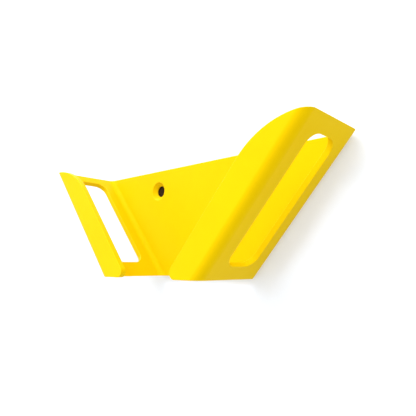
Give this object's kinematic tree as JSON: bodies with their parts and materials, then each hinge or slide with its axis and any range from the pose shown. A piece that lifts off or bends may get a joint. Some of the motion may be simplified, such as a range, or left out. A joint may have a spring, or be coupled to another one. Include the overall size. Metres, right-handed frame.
{
  "type": "wedge holder bracket",
  "caption": "Bent-sheet wall bracket: a tapering back plate with slotted side walls, each turned in to a retaining lip over an open wedge-shaped pocket.",
  "frame": {"origin": "centre of the bounding box's bottom face, on the flat back of the plate", "axes": "+Z out of the back plate towards the lips, +Y towards the plate's wide end, X across the bracket, which is symmetric about x = 0"},
  "size_m": [0.176, 0.062, 0.042],
  "materials": {
    "yellow_coating": "satin yellow powder coat over steel sheet, smooth, with slightly rounded edges"
  },
  "bodies": {
    "root": {"folded_bracket": "yellow_coating"}
  },
  "joints": []
}
